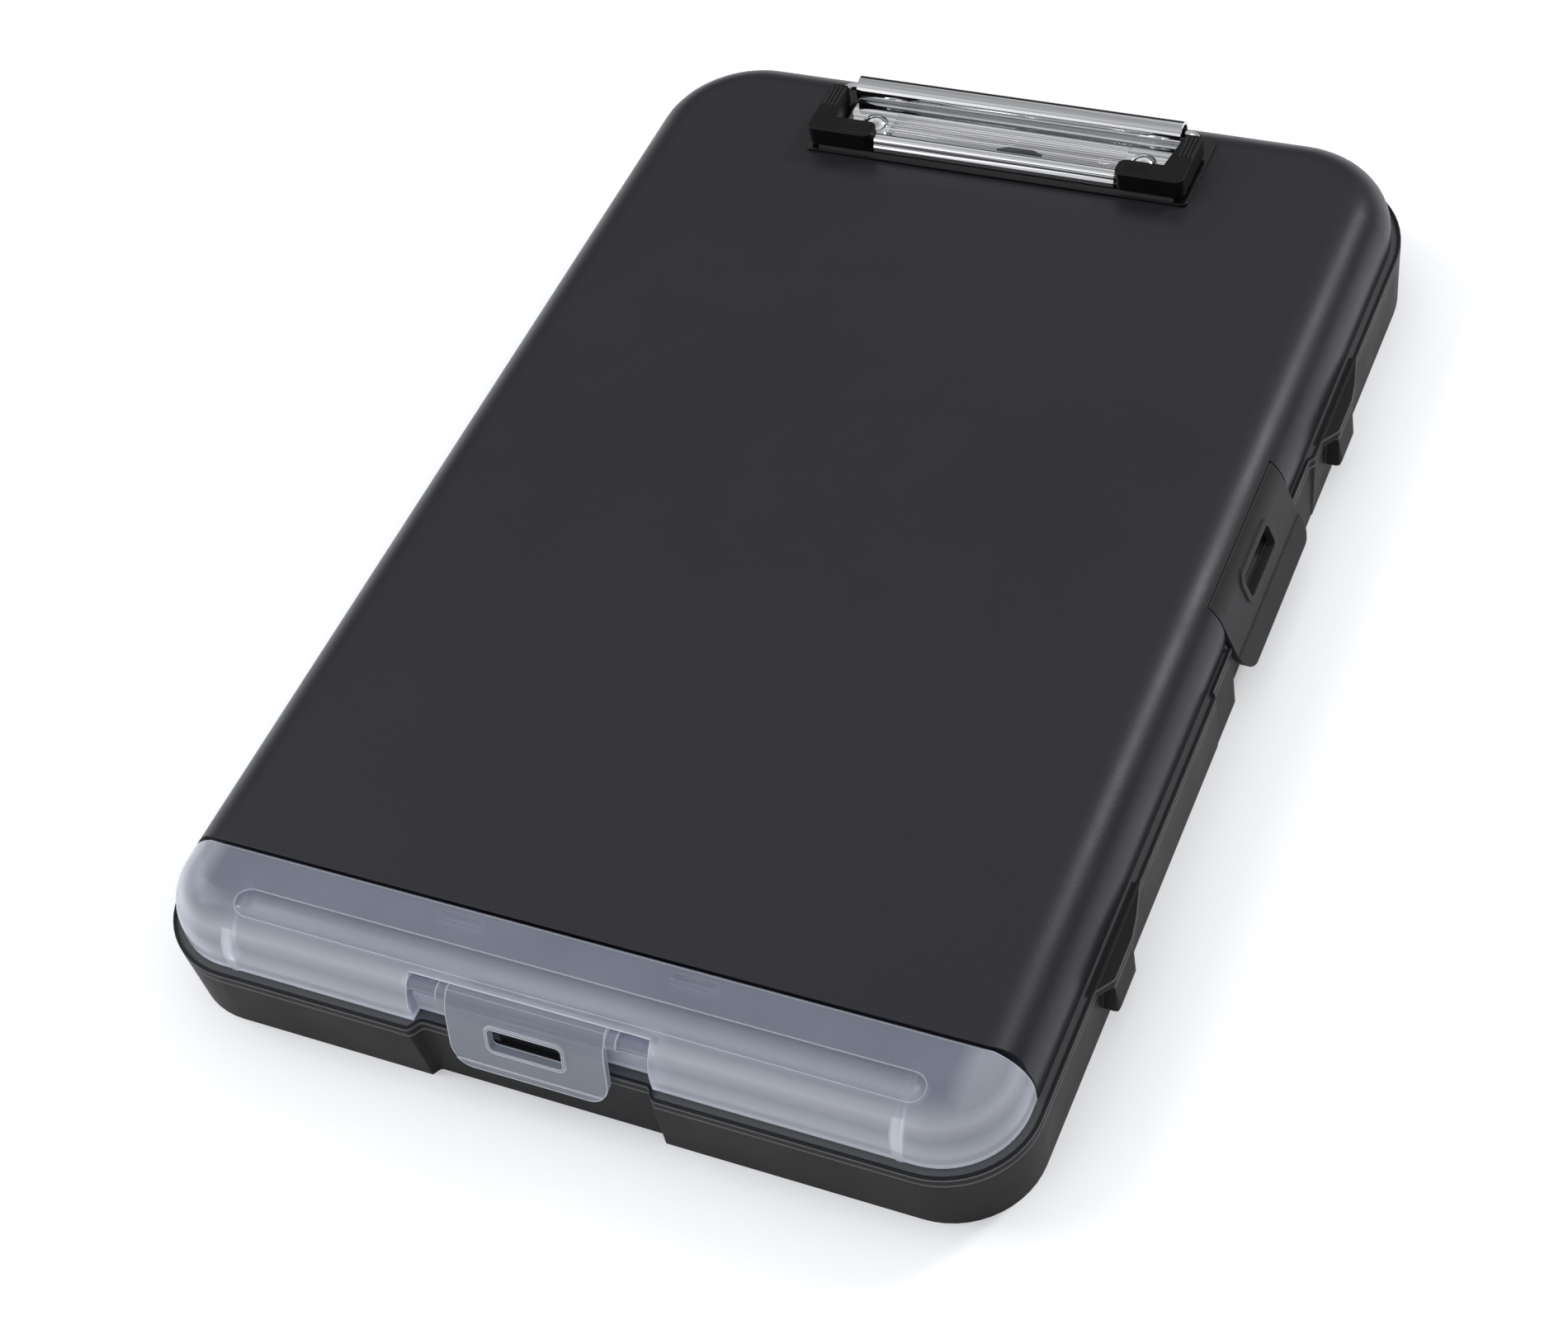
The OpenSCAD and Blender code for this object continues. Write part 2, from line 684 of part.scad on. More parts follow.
// Space that the pen latch's notch takes, with its back drawn in by t
module notch_space(w, t) {
    translate([0, -w/2, 0]) {
        translate([shoulder_r + foot_inset - notch_in - t, 0, -top_h]) cube([30, w, top_h + pen_v]);
        translate([pen_u, 0, pen_v]) cube([30, w, top_h]);
    }
    translate([pen_u, 0, pen_v]) rod_y(pen_clear + t, w);
}

// Trough along the cover's top, drawn out by t
module trough(t) {
    translate([0, sh_y - trough_d*sin(trough_angle), sh_z + trough_d*cos(trough_angle)]) {
        translate([(trough_l[0] + trough_l[1])/2, 0, 0])
            rod_x(trough_r + t, trough_l[1] - trough_l[0] - 2*trough_end);
        translate([trough_l[0] + trough_end, 0, 0]) sphere(trough_r + t);
        translate([trough_l[1] - trough_end, 0, 0]) sphere(trough_r + t);
    }
}

module pen_cover() {
    color([0.36, 0.43, 0.5, 0.75]) difference() {
        union() {
            intersection() {
                top_shell(cover_t, cover_foot_z);
                translate([-hw, -hl, 0]) cube([body_w, cover_rear + hl, top_h + 1]);
            }
            intersection() {
                union() {
                    // walls round the notch
                    difference() {
                        on_front() notch_space(2*(notch_x + cover_t), notch_t);
                        // room over the tray's lip
                        at_front_recess() difference() {
                            translate([-notch_x - cover_t - 1, 0, 0])
                                cube([2*(notch_x + cover_t + 1), 20, ledge_z + lip_h + gap]);
                            outside_wall(front_half, front_recess, front_slope, lip_in - gap, -1, top_h);
                        }
                    }
                    // wall under the trough
                    trough(cover_t - 0.2);
                    // ribs inside the front wall
                    for (s = [-1, 1]) difference() {
                        translate([s*cover_rib_x - 0.8, -hl, ledge_z + lip_h + 2*gap]) cube([1.6, 20, top_h]);
                        pillow(foot_inset + cover_t + 2, 0, top_h - cover_t - 2, shoulder_r - cover_t - 2);
                    }
                }
                pillow(foot_inset + 0.01, cover_foot_z, top_h - 0.01, shoulder_r - 0.01);
            }
            // teeth in the tray's channel
            for (s = [-1, 1]) translate([s*cover_rib_x - 0.8, -hl + foot_inset + 0.1, ledge_z + 0.2])
                cube([1.6, cover_t - 0.2, cover_foot_z - ledge_z]);
            // hinge barrels
            for (s = [-1, 1]) translate([s*(cover_boss_x + knuckle_gap + cover_barrel_l/2), cover_ay, cover_az]) {
                rod_x(cover_barrel_r, cover_barrel_l);
                translate([-cover_barrel_l/2, -cover_barrel_r, 0])
                    cube([cover_barrel_l, 2*cover_barrel_r, cover_barrel_r + gap + 0.5]);
            }
        }
        on_front() {
            notch_space(2*notch_x, 0);
            translate([pen_u, 0, pen_v]) rod_y(rod_r + pin_fit, rod_l + 0.2);
        }
        trough(0);
        // rear edge eased to swing clear of the lid
        translate([-hw, cover_rear, top_h]) rotate([45, 0, 0])
            translate([0, -rear_ease*sqrt(0.5), -rear_ease*sqrt(0.5)])
                cube([body_w, rear_ease*sqrt(2), rear_ease*sqrt(2)]);
        // way out past the tray's catch
        translate([-pen_latch_x - catch_w/2 - 0.4, -hl, cover_foot_z - 1])
            cube([catch_w + 0.8, catch_slot_in, sh_z + window_v + pen_catch_r + gap - cover_foot_z]);
        translate([0, cover_ay, cover_az]) rod_x(cover_pin_r + pin_fit, cover_pin_l + 4);
    }
}

module pen_cover_pin() {
    color([0.7, 0.71, 0.73]) translate([0, cover_ay, cover_az]) rod_x(cover_pin_r, cover_pin_l);
}

// ---------- clip ----------

module clip_pad() {
    color([0.04, 0.04, 0.045]) difference() {
        translate([0, pad_y + pad_d/2, top_h]) linear_extrude(pad_t) rounded_bar(pad_w, pad_d, 2);
        for (s = [-1, 1]) translate([s*rivet_pitch/2, rivet_y, top_h - 1])
            cylinder(r = rivet_r + pin_fit, h = pad_t + 2);
    }
}

module clip_plate() {
    color([0.8, 0.81, 0.83]) difference() {
        union() {
            translate([-grip_x + 3, plate_y, plate_z]) cube([2*grip_x - 6, grip_y + grip_front - plate_y, plate_t]);
            translate([-tube_l/2, plate_y + 1, plate_z]) cube([tube_l, tube_y - plate_y - 1, plate_t]);
            translate([0, tube_y, tube_z]) rod_x(tube_r, tube_l);
            // stiffening ribs along the plate
            for (i = [0:4]) translate([0, wire_y + jaw_back + 2.4 + i*plate_rib_pitch, plate_z + plate_t - 0.1])
                rod_x(0.5, rivet_pitch - 2*rivet_head_r - 3);
        }
        translate([0, tube_y, tube_z]) rod_x(tube_r - plate_t, tube_l + 2);
        for (s = [-1, 1]) translate([s*rivet_pitch/2, rivet_y, plate_z - 1])
            cylinder(r = rivet_r + pin_fit, h = plate_t + 2);
    }
}

module clip_rivets() {
    low = top_h - lid_t - washer_t;
    dome_r = (rivet_head_r*rivet_head_r + rivet_head_t*rivet_head_t)/(2*rivet_head_t);
    color([0.8, 0.81, 0.83]) for (s = [-1, 1]) translate([s*rivet_pitch/2, rivet_y, 0]) {
        translate([0, 0, low - 0.8]) cylinder(r = rivet_r, h = plate_z + plate_t - low + 1);
        intersection() {
            translate([0, 0, plate_z + plate_t + rivet_head_t - dome_r]) sphere(dome_r);
            translate([0, 0, plate_z + plate_t]) cylinder(r = rivet_head_r + 1, h = rivet_head_t + 1);
        }
        translate([0, 0, low - 0.8]) cylinder(r = rivet_r + 1, h = 0.8);
    }
}

module rivet_washers() {
    color([0.7, 0.71, 0.73]) for (s = [-1, 1])
        translate([s*rivet_pitch/2, rivet_y, top_h - lid_t - washer_t]) difference() {
            cylinder(r = rivet_r + 3, h = washer_t);
            translate([0, 0, -1]) cylinder(r = rivet_r + pin_fit, h = washer_t + 2);
        }
}

// Coiled springs inside the tube, drawn as turns that touch
module clip_springs() {
    inner = wire_r + pin_fit;
    outer = tube_r - plate_t - pin_fit;
    pitch = spring_l/spring_turns;
    color([0.6, 0.61, 0.63]) for (s = [-1, 1])
        translate([s*(tube_l/2 - 3 - spring_l/2), tube_y, tube_z]) rotate([0, 90, 0])
            translate([0, 0, -spring_l/2]) rotate_extrude() for (i = [0:spring_turns - 1])
                translate([0, i*pitch]) polygon([[inner, 0.3*pitch], [inner, 0.7*pitch],
                    [(inner + outer)/2, 1.02*pitch], [outer, 0.7*pitch], [outer, 0.3*pitch],
                    [(inner + outer)/2, -0.02*pitch]]);
}

// Wire bail about the tube's axis; r is the wire's radius
module bail(r) {
    bx = wire_x - wire_bend;
    translate([0, tube_y, tube_z]) rotate([bail_tilt, 0, 0]) {
        for (s = [0, 1]) mirror([s, 0, 0]) {
            translate([wire_in, 0, 0]) rotate([0, 90, 0]) cylinder(r = r, h = bx - wire_in);
            translate([bx, -wire_bend, 0]) rotate_extrude(angle = 90) translate([wire_bend, 0]) circle(r);
            translate([wire_x, -wire_bend, 0]) rotate([90, 0, 0]) cylinder(r = r, h = bail_l - 2*wire_bend);
            translate([bx, -bail_l + wire_bend, 0]) rotate([0, 0, -90])
                rotate_extrude(angle = 90) translate([wire_bend, 0]) circle(r);
        }
        translate([0, -bail_l, 0]) rod_x(r, 2*bx);
    }
}

module clip_wire() {
    color([0.8, 0.81, 0.83]) bail(wire_r);
}

module clip_jaw() {
    r = wire_r + 0.8;
    color([0.8, 0.81, 0.83]) difference() {
        union() {
            translate([0, wire_y, wire_z]) rod_x(r, 2*jaw_x);
            // front lip and rear flange of the folded sheet
            translate([-jaw_x, 0, 0]) rotate([90, 0, 90]) linear_extrude(2*jaw_x)
                polygon([[wire_y, wire_z + r - 0.2], [wire_y - r - 0.7, grip_z + 1.4],
                    [wire_y - r - 0.7, grip_z], [wire_y - r + 0.4, grip_z], [wire_y, wire_z - 0.5]]);
            translate([-jaw_x, 0, 0]) rotate([90, 0, 90]) linear_extrude(2*jaw_x)
                polygon([[wire_y, wire_z + 0.4], [wire_y + jaw_back, grip_z + 1.2],
                    [wire_y + jaw_back, grip_z + 0.4], [wire_y, wire_z - 0.6]]);
            // wave in the flange's rear edge
            translate([6, wire_y + jaw_back - 5, grip_z + 0.4]) linear_extrude(0.8)
                polygon([[-9, 4.5], [-7, 5.1], [-4, 6.6], [4, 6.6], [7, 5.1], [9, 4.5]]);
        }
        bail(wire_r + pin_fit);
    }
}

// Rubber corner grip, right-hand side
module corner_grip() {
    top = grip_z + grip_h;
    color([0.03, 0.03, 0.035]) difference() {
        union() {
            translate([0, 0, grip_z]) linear_extrude(grip_h) {
                translate([grip_x - grip_reach/2, grip_y + grip_front/2]) rounded_bar(grip_reach, grip_front, 2.4);
                polygon([[grip_in - 2.5, grip_y + grip_front/2], [grip_x, grip_y + grip_front/2],
                    [grip_x, grip_back - 1], [grip_x - 1, grip_back], [grip_in + 0.3, grip_back]]);
            }
            // ribs along both legs
            for (i = [0:3]) translate([grip_x - grip_reach + 6, grip_y + 1.6 + i*grip_rib_pitch, top - 0.1])
                rod_x(grip_rib_r, 9);
            for (i = [0:3]) translate([grip_in + 1 + i*grip_rib_pitch, grip_back - 5.5, top - 0.1])
                rod_y(grip_rib_r, 9);
        }
        bail(wire_r + pin_fit);
    }
}

module clip_grip_right() {
    corner_grip();
}

module clip_grip_left() {
    mirror([1, 0, 0]) corner_grip();
}

base_tray();
main_lid();
lid_hinge_pins();
side_latch();
side_latch_pin();
pen_cover();
pen_cover_pin();
pen_latch();
pen_latch_rod();
clip_pad();
clip_plate();
clip_rivets();
rivet_washers();
clip_springs();
clip_wire();
clip_jaw();
clip_grip_left();
clip_grip_right();
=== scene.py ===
"""Looks for a storage clipboard box: finishes, polished metal, light and camera."""

from __future__ import annotations

import logging
import math
from dataclasses import dataclass, replace
from enum import Enum
from functools import cache
from typing import Any, Protocol

import bpy
from mathutils import Matrix, Vector

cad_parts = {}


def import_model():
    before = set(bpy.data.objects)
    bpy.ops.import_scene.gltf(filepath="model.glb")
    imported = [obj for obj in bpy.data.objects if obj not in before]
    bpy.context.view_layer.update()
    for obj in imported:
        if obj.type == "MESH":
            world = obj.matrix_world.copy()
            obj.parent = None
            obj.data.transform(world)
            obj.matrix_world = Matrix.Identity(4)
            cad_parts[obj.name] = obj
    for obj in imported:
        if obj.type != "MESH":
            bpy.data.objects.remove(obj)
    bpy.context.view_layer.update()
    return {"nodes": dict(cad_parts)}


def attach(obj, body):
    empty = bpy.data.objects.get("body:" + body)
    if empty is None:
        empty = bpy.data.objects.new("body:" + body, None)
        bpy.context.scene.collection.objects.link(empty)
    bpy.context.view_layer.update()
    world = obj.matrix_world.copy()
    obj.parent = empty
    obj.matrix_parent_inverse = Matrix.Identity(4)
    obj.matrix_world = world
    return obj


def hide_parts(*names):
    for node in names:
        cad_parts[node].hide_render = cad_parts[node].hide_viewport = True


LOG = logging.getLogger("clipboard_box")
Colour = tuple[float, float, float]
Stops = tuple[tuple[float, float], ...]
Node = bpy.types.Node
Socket = bpy.types.NodeSocket


class Grain(Enum):
    """Surface texture that a moulded piece carries."""

    SMOOTH = "smooth"
    SATIN = "satin"
    LEATHERY = "leathery"

    @property
    def relief(self) -> tuple[float, float]:
        """Describe the texture.

        Returns:
            Its cells per metre and its strength.
        """
        return {
            Grain.SMOOTH: (900.0, 0.03),
            Grain.SATIN: (2600.0, 0.08),
            Grain.LEATHERY: (1500.0, 0.12),
        }[self]


# ---------------------------------------------------------------- node helpers


MIDDLE = (0.35, 0.65)  # the range that a noise mostly stays in
BEVEL_SAMPLES = 8


class Graph:
    """A material's node tree, with short ways to add and join nodes."""

    def __init__(self, name: str) -> None:
        """Start an empty material.

        Args:
            name: the material's name.
        """
        self.material = bpy.data.materials.new(name)
        self.material.use_nodes = True
        self.tree = self.material.node_tree
        self.tree.nodes.clear()
        self.output = self.tree.nodes.new("ShaderNodeOutputMaterial")

    def add(self, kind: str, **values: Any) -> Node:
        """Add a node.

        Args:
            kind: Blender's type name of the node.
            values: settings of the node, or values of its sockets.

        Returns:
            The new node.
        """
        node = self.tree.nodes.new(kind)
        for key, value in values.items():
            label = key.replace("_", " ")
            if hasattr(node, key):
                setattr(node, key, value)
            else:
                socket = next(s for s in node.inputs if s.name.lower() == label.lower())
                socket.default_value = value
        return node

    def join(self, source: Socket, target: Socket) -> None:
        """Link an output socket to an input socket."""
        self.tree.links.new(source, target)

    def noise(self, scale: float | Colour, detail: float) -> Socket:
        """Noise on object coordinates.

        Args:
            scale: cells per metre, or cells per metre along each axis.
            detail: octaves of the noise.

        Returns:
            The output socket.
        """
        place = self.add("ShaderNodeTexCoord").outputs["Object"]
        size = scale
        if isinstance(scale, tuple):
            stretch = self.add("ShaderNodeMapping", Scale=scale)
            self.join(place, stretch.inputs["Vector"])
            place = stretch.outputs["Vector"]
            size = 1.0
        noise = self.add("ShaderNodeTexNoise", Scale=size, Detail=detail)
        self.join(place, noise.inputs["Vector"])
        return noise.outputs["Fac"]

    def spread(self, source: Socket, low: float, high: float, lo: float, hi: float) -> Socket:
        """Map a value in a straight line, clamped at both ends.

        Args:
            source: the socket that is mapped.
            low: level where the value is lo.
            high: level where the value is hi.
            lo: first end of the value's range.
            hi: other end of it.

        Returns:
            The output socket.
        """
        node = self.add("ShaderNodeMapRange")
        node.inputs["From Min"].default_value = lo
        node.inputs["From Max"].default_value = hi
        node.inputs["To Min"].default_value = low
        node.inputs["To Max"].default_value = high
        self.join(source, node.inputs["Value"])
        return node.outputs["Result"]

    def tint(self, factor: Socket, dark: Colour, light: Colour) -> Socket:
        """Blend two colours over the middle range of a noise.

        Args:
            factor: the noise.
            dark: colour where it is low.
            light: colour where it is high.

        Returns:
            The colour socket.
        """
        ramp = self.add("ShaderNodeValToRGB")
        for mark, place, colour in zip(ramp.color_ramp.elements, MIDDLE, (dark, light)):
            mark.color = (*colour, 1.0)
            mark.position = place
        self.join(factor, ramp.inputs["Fac"])
        return ramp.outputs["Color"]

    def bump(
        self, height: Socket, strength: float, distance: float, base: Socket | None = None
    ) -> Socket:
        """Bump from a height socket.

        Args:
            height: socket that carries the height.
            strength: share of the full effect.
            distance: depth of the relief, in metres.
            base: normal socket that the bump starts from.

        Returns:
            The normal socket.
        """
        node = self.add("ShaderNodeBump", Strength=strength, Distance=distance)
        self.join(height, node.inputs["Height"])
        if base is not None:
            self.join(base, node.inputs["Normal"])
        return node.outputs["Normal"]

    def eased(self, radius: float) -> Socket:
        """Normal socket of a surface whose edges are broken by a radius, in metres."""
        return self.add("ShaderNodeBevel", samples=BEVEL_SAMPLES, Radius=radius).outputs["Normal"]

    def rims(self, radius: float, lo: float = 0.02, hi: float = 0.22) -> Socket:
        """Socket that rises from 0 on open faces to 1 along their edges.

        Args:
            radius: how far from the edge it starts, in metres.
            lo: turn of the eased normal at which it starts.
            hi: turn of the eased normal at which it is full.

        Returns:
            The output socket.
        """
        flat = self.add("ShaderNodeNewGeometry").outputs["Normal"]
        dot = self.add("ShaderNodeVectorMath", operation="DOT_PRODUCT")
        self.join(self.eased(radius), dot.inputs[0])
        self.join(flat, dot.inputs[1])
        turn = self.add("ShaderNodeMath", operation="SUBTRACT")
        turn.inputs[0].default_value = 1.0
        self.join(dot.outputs["Value"], turn.inputs[1])
        return self.spread(turn.outputs["Value"], 0.0, 1.0, lo, hi)

    def axis(self, name: str) -> Socket:
        """One object coordinate, in metres.

        Args:
            name: X, Y or Z.

        Returns:
            The output socket.
        """
        place = self.add("ShaderNodeTexCoord")
        parts = self.add("ShaderNodeSeparateXYZ")
        self.join(place.outputs["Object"], parts.inputs["Vector"])
        return parts.outputs[name]

    def math(self, operation: str, first: Socket, second: Socket | float | None = None) -> Socket:
        """Work out one sum.

        Args:
            operation: Blender's name of it.
            first: the first value.
            second: the second value, as a socket or a number, where the sum has two.

        Returns:
            The output socket.
        """
        node = self.add("ShaderNodeMath", operation=operation)
        self.join(first, node.inputs[0])
        if isinstance(second, float):
            node.inputs[1].default_value = second
        elif second is not None:
            self.join(second, node.inputs[1])
        return node.outputs["Value"]

    def near(self, source: Socket, middle: float, half: float) -> Socket:
        """Mark the places where a value comes near a number.

        Args:
            source: the value.
            middle: the number, where the mark is 1.
            half: how far from it the mark has fallen to 0. It is full up to half of that.

        Returns:
            The output socket.
        """
        away = self.math("ABSOLUTE", self.math("SUBTRACT", source, middle))
        return self.spread(away, 1.0, 0.0, half * 0.5, half)

    def profile(self, source: Socket, stops: Stops) -> Socket:
        """Follow a row of stops along a value.

        Args:
            source: the socket that is followed.
            stops: pairs of a value and the level there, in rising order.

        Returns:
            The output socket.
        """
        start, end = stops[0][0], stops[-1][0]
        ramp = self.add("ShaderNodeValToRGB")
        self.join(self.spread(source, 0.0, 1.0, start, end), ramp.inputs["Fac"])
        set_levels(ramp, tuple(((at - start) / (end - start), level) for at, level in stops))
        return ramp.outputs["Color"]

    def largest(self, first: Socket, *others: Socket) -> Socket:
        """Take the largest of some values.

        Args:
            first: a value.
            others: the other values, if there are any.

        Returns:
            The output socket.
        """
        for other in others:
            first = self.math("MAXIMUM", first, other)
        return first

    def mixed(self, factor: Socket, first: Socket | Colour, second: Socket | Colour) -> Socket:
        """Blend two colours.

        Args:
            factor: share of the second colour.
            first: a socket or a plain colour.
            second: a socket or a plain colour.

        Returns:
            The colour socket.
        """
        node = self.add("ShaderNodeMix", data_type="RGBA")
        self.join(factor, node.inputs[0])
        for slot, value in ((6, first), (7, second)):
            if isinstance(value, tuple):
                node.inputs[slot].default_value = (*value, 1.0)
            else:
                self.join(value, node.inputs[slot])
        return node.outputs[2]


def set_levels(ramp: Node, stops: Stops) -> None:
    """Give a colour ramp its grey levels.

    Args:
        ramp: the ramp's node, new, with its two marks at 0 and 1.
        stops: pairs of a place from 0 to 1 and the grey there, from 0 up to 1.
    """
    marks = ramp.color_ramp.elements
    for mark, (_, grey) in zip(marks, (stops[0], stops[-1])):
        mark.color = (grey, grey, grey, 1.0)
    for place, grey in stops[1:-1]:
        marks.new(place).color = (grey, grey, grey, 1.0)


def scaled(colour: Colour, factor: float) -> Colour:
    """A colour made lighter or darker by a factor."""
    return tuple(min(1.0, c * factor) for c in colour)  # type: ignore[return-value]


# -------------------------------------------------------------------- finishes


class Finish(Protocol):
    """Anything that makes a material."""

    def material(self) -> bpy.types.Material:
        """Build the material.

        Returns:
            The material, the same one at every call.
        """


@dataclass(frozen=True)
class MouldedPlastic:
    """Opaque moulded plastic with a fine texture, softly broken edges and a painted highlight
    along its edges.
    """

    name: str
    colour: Colour
    roughness: float
    grain: Grain
    specular: float
    # how far the colour is lifted along the edges, as a painted highlight
    painted_edge_lift: float
    edge_radius: float = 0.0004
    # heights of pale lines painted into the colour as highlights
    painted_highlight_heights: tuple[float, ...] = ()
    painted_highlight_half: float = 0.00042
    mottle_cells: float = 9.0
    mottle_octaves: float = 4.0
    mottle_share: float = 0.04
    wear_cells: float = 60.0
    wear_octaves: float = 5.0
    wear: tuple[float, float] = (-0.02, 0.03)
    grain_octaves: float = 2.0
    grain_depth: float = 0.0002

    @cache
    def material(self) -> bpy.types.Material:
        """Build the material.

        Returns:
            The material, the same one at every call.
        """
        graph = Graph(self.name)
        shader = graph.add("ShaderNodeBsdfPrincipled")
        shader.inputs["Specular IOR Level"].default_value = self.specular
        body = graph.tint(
            graph.noise(self.mottle_cells, self.mottle_octaves),
            scaled(self.colour, 1.0 - self.mottle_share),
            scaled(self.colour, 1.0 + self.mottle_share),
        )
        # Painted highlight lines at the listed heights.
        lines = [graph.near(graph.axis("Z"), height, self.painted_highlight_half) for height in self.painted_highlight_heights]
        # Painted highlight: the colour is lifted along the edges and on the listed pale lines.
        painted_highlight = graph.largest(graph.rims(self.edge_radius), *lines)
        graph.join(
            graph.mixed(painted_highlight, body, scaled(self.colour, self.painted_edge_lift)),
            shader.inputs["Base Color"],
        )
        smooth, rough = (self.roughness + change for change in self.wear)
        wear = graph.noise(self.wear_cells, self.wear_octaves)
        graph.join(graph.spread(wear, smooth, rough, *MIDDLE), shader.inputs["Roughness"])
        cells, strength = self.grain.relief
        relief = graph.noise(cells, self.grain_octaves)
        graph.join(
            graph.bump(relief, strength, self.grain_depth, graph.eased(self.edge_radius)),
            shader.inputs["Normal"],
        )
        graph.join(shader.outputs["BSDF"], graph.output.inputs["Surface"])
        return graph.material


@dataclass(frozen=True)
class FrostedPlastic:
    """Milky see-through plastic, with painted highlights where it turns away and along its edges.

    The wall is a row of heights and the share of painted highlight there. The ends are painted
    lighter from inner_end to outer_end, and two ribs stand inside the front wall at rib_at, below
    the shoulder, painted as lighter bands. Heights and widths are in metres. The bend is the
    index of refraction.
    """

    name: str
    milk: Colour
    # colour of the painted highlight
    edge: Colour
    clear: float
    roughness: float
    wall: Stops = ((0.0, 0.0), (0.05, 0.0))
    end_share: float = 0.0
    inner_end: float = 0.1010
    outer_end: float = 0.1060
    shoulder: float = 0.0350
    rib_share: float = 0.0
    rib_at: float = 0.0920
    rib_half: float = 0.0024
    rib_fade: float = 0.001
    passed: Colour = (0.72, 0.76, 0.84)
    cloud_cells: float = 28.0
    cloud_octaves: float = 3.0
    cloud_share: float = 0.05
    edge_radius: float = 0.0006
    edge_turn: tuple[float, float] = (0.006, 0.06)
    turned_share: float = 0.55
    turned: tuple[float, float] = (0.25, 0.95)
    turn_blend: float = 0.35
    specular: float = 0.5
    bend: float = 1.3

    @cache
    def material(self) -> bpy.types.Material:
        """Build the material.

        Returns:
            The material, the same one at every call.
        """
        graph = Graph(self.name)
        shader = graph.add("ShaderNodeBsdfPrincipled", Roughness=self.roughness, IOR=self.bend)
        shader.inputs["Transmission Weight"].default_value = self.clear
        shader.inputs["Specular IOR Level"].default_value = self.specular
        body = graph.tint(
            graph.noise(self.cloud_cells, self.cloud_octaves),
            scaled(self.milk, 1.0 - self.cloud_share),
            scaled(self.milk, 1.0 + self.cloud_share),
        )
        facing = graph.add("ShaderNodeLayerWeight", Blend=self.turn_blend).outputs["Facing"]
        # Painted light: the highlight colour is mixed in where the plastic turns away, along its
        # edges, in bands up the wall, towards both ends and over the ribs.
        painted_light_mask = graph.largest(
            graph.spread(facing, 0.0, self.turned_share, *self.turned),
            graph.rims(self.edge_radius, *self.edge_turn),
            graph.profile(graph.axis("Z"), self.wall),
            self.ends(graph),
            self.ribs(graph),
        )
        graph.join(graph.mixed(painted_light_mask, body, self.edge), shader.inputs["Base Color"])
        graph.join(self.with_light_through(graph, shader), graph.output.inputs["Surface"])
        return graph.material

    def ends(self, graph: Graph) -> Socket:
        """Socket that rises towards both ends of the piece, where a painted highlight is laid."""
        across = graph.math("ABSOLUTE", graph.axis("X"))
        return graph.spread(across, 0.0, self.end_share, self.inner_end, self.outer_end)

    def ribs(self, graph: Graph) -> Socket:
        """Mark the two inner ribs of the front wall, which are painted lighter.

        Args:
            graph: the material's nodes.

        Returns:
            The output socket.
        """
        across = graph.math("ABSOLUTE", graph.axis("X"))
        start = self.shoulder + self.rib_fade
        below = graph.spread(graph.axis("Z"), 0.0, self.rib_share, start, self.shoulder)
        return graph.math("MINIMUM", graph.near(across, self.rib_at, self.rib_half), below)

    def with_light_through(self, graph: Graph, shader: Node) -> Socket:
        """Let lamps shine through to what lies inside.

        Args:
            graph: the material's nodes.
            shader: the plastic's own shader.

        Returns:
            The surface socket.
        """
        path = graph.add("ShaderNodeLightPath")
        through = graph.add("ShaderNodeBsdfTransparent", Color=(*self.passed, 1.0))
        mix = graph.add("ShaderNodeMixShader")
        graph.join(path.outputs["Is Shadow Ray"], mix.inputs["Fac"])
        graph.join(shader.outputs["BSDF"], mix.inputs[1])
        graph.join(through.outputs["BSDF"], mix.inputs[2])
        return mix.outputs["Shader"]


@dataclass(frozen=True)
class Steel:
    """Plated or drawn steel, with darker streaks along X painted into its colour as a painted
    reflection.
    """

    name: str
    colour: Colour
    roughness: float
    streak: float = 0.0
    painted_streak_dark: float = 1.0
    octaves: float = 3.0
    streak_cells: Colour = (25.0, 700.0, 700.0)
    streak_depth: float = 0.0001
    painted_streak_cells: Colour = (5.0, 620.0, 620.0)

    @cache
    def material(self) -> bpy.types.Material:
        """Build the material.

        Returns:
            The material, the same one at every call.
        """
        graph = Graph(self.name)
        shader = graph.add("ShaderNodeBsdfPrincipled", Metallic=1.0, Roughness=self.roughness)
        shader.inputs["Base Color"].default_value = (*self.colour, 1.0)
        if self.painted_streak_dark < 1.0:
            # Painted reflection: darker streaks along X in the base colour.
            lines = graph.noise(self.painted_streak_cells, self.octaves)
            dark = scaled(self.colour, self.painted_streak_dark)
            graph.join(graph.tint(lines, dark, self.colour), shader.inputs["Base Color"])
        if self.streak > 0.0:
            relief = graph.noise(self.streak_cells, self.octaves)
            graph.join(
                graph.bump(relief, self.streak, self.streak_depth), shader.inputs["Normal"]
            )
        graph.join(shader.outputs["BSDF"], graph.output.inputs["Surface"])
        return graph.material


# ------------------------------------------------------------- stage and light


@dataclass(frozen=True)
class Lamp:
    """Square area lamp: where it hangs, the point it faces, its side and its watts."""

    name: str
    place: Colour
    target: Colour
    size: float
    power: float

    def build(self) -> None:
        """Hang the lamp."""
        data = bpy.data.lights.new(self.name, "AREA")
        data.size = self.size
        data.energy = self.power
        lamp = bpy.data.objects.new(self.name, data)
        bpy.context.collection.objects.link(lamp)
        lamp.location = self.place
        aim = Vector(self.target) - Vector(self.place)
        lamp.rotation_euler = aim.to_track_quat("-Z", "Y").to_euler()


